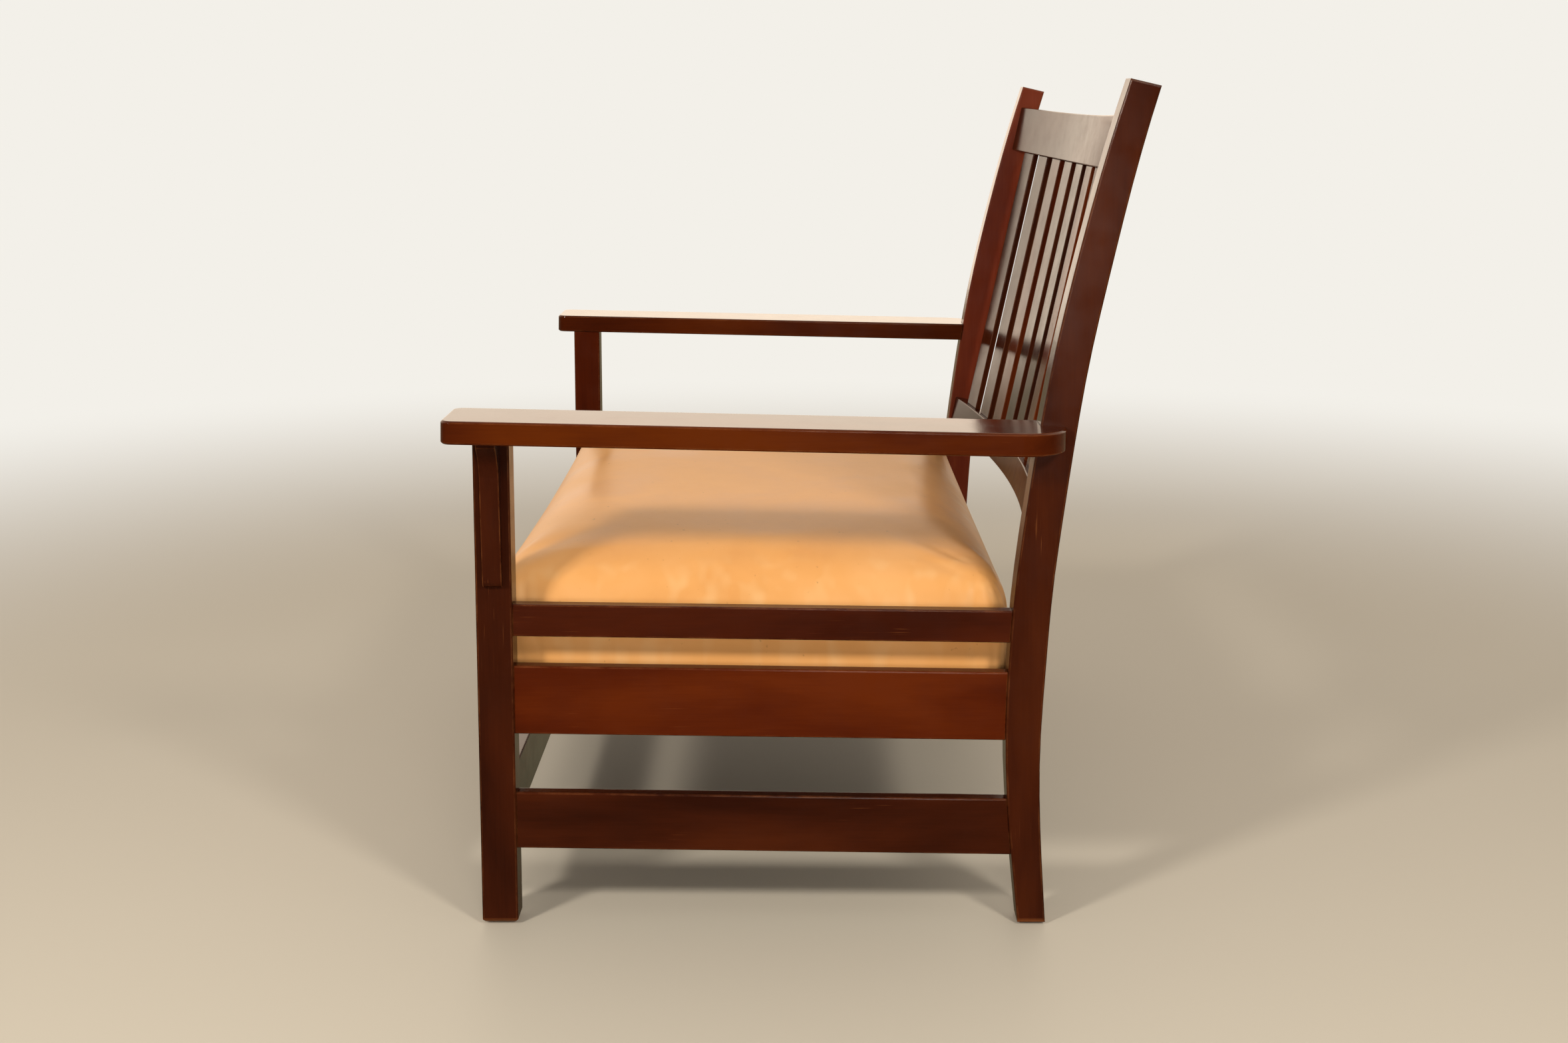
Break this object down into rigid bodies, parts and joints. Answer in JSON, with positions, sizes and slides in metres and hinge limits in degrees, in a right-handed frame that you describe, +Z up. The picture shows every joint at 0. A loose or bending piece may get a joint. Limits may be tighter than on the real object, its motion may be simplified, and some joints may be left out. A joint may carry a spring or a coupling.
{
  "type": "mission settle",
  "caption": "Mission settle with straight legs, broad flat arms on curved corbels, a bowed slatted back, railed ends and a drop-in leather spring seat.",
  "frame": {"origin": "on the floor, in the middle of the settle's length and depth", "axes": "+X to the right end as seen from the front, -Y to the front, +Z up"},
  "size_m": [1.219, 0.8687, 1.026],
  "materials": {
    "stained_mahogany": "red-brown stain under a glossy clear lacquer",
    "inner_hardwood": "bare planed hardwood",
    "dowel_hardwood": "bare turned beech",
    "tan_leather": "semi-gloss tan upholstery leather",
    "wadding": "cotton wadding over curled hair",
    "jute_webbing": "woven jute",
    "hessian": "coarse plain-woven jute",
    "dust_cloth": "thin black calico",
    "spring_steel": "coppered drawn wire, dulled",
    "screw_steel": "bright turned steel",
    "glide_steel": "pressed steel, worn bright"
  },
  "bodies": {
    "root": {"arm_corbel_left": "stained_mahogany", "arm_corbel_right": "stained_mahogany", "arm_dowels": "dowel_hardwood", "arm_left": "stained_mahogany", "arm_right": "stained_mahogany", "back_post_left": "stained_mahogany", "back_post_right": "stained_mahogany", "back_seat_rail": "stained_mahogany", "back_slat_1": "stained_mahogany", "back_slat_10": "stained_mahogany", "back_slat_11": "stained_mahogany", "back_slat_2": "stained_mahogany", "back_slat_3": "stained_mahogany", "back_slat_4": "stained_mahogany", "back_slat_5": "stained_mahogany", "back_slat_6": "stained_mahogany", "back_slat_7": "stained_mahogany", "back_slat_8": "stained_mahogany", "back_slat_9": "stained_mahogany", "corbel_dowels": "dowel_hardwood", "crest_rail": "stained_mahogany", "dust_cover": "dust_cloth", "foot_glides": "glide_steel", "front_leg_left": "stained_mahogany", "front_leg_right": "stained_mahogany", "front_seat_rail": "stained_mahogany", "front_stretcher": "stained_mahogany", "leather_cover": "tan_leather", "long_cleat_screws": "screw_steel", "lower_back_rail": "stained_mahogany", "lower_side_rail_left": "stained_mahogany", "lower_side_rail_right": "stained_mahogany", "seat_cleat_back": "inner_hardwood", "seat_cleat_front": "inner_hardwood", "seat_cleat_left": "inner_hardwood", "seat_cleat_right": "inner_hardwood", "seat_frame_back": "inner_hardwood", "seat_frame_front": "inner_hardwood", "seat_frame_left": "inner_hardwood", "seat_frame_middle": "inner_hardwood", "seat_frame_right": "inner_hardwood", "seat_padding": "wadding", "seat_side_rail_left": "stained_mahogany", "seat_side_rail_right": "stained_mahogany", "seat_springs": "spring_steel", "seat_webbing": "jute_webbing", "side_cleat_screws": "screw_steel", "spring_cloth": "hessian", "upper_side_rail_left": "stained_mahogany", "upper_side_rail_right": "stained_mahogany"}
  },
  "joints": []
}
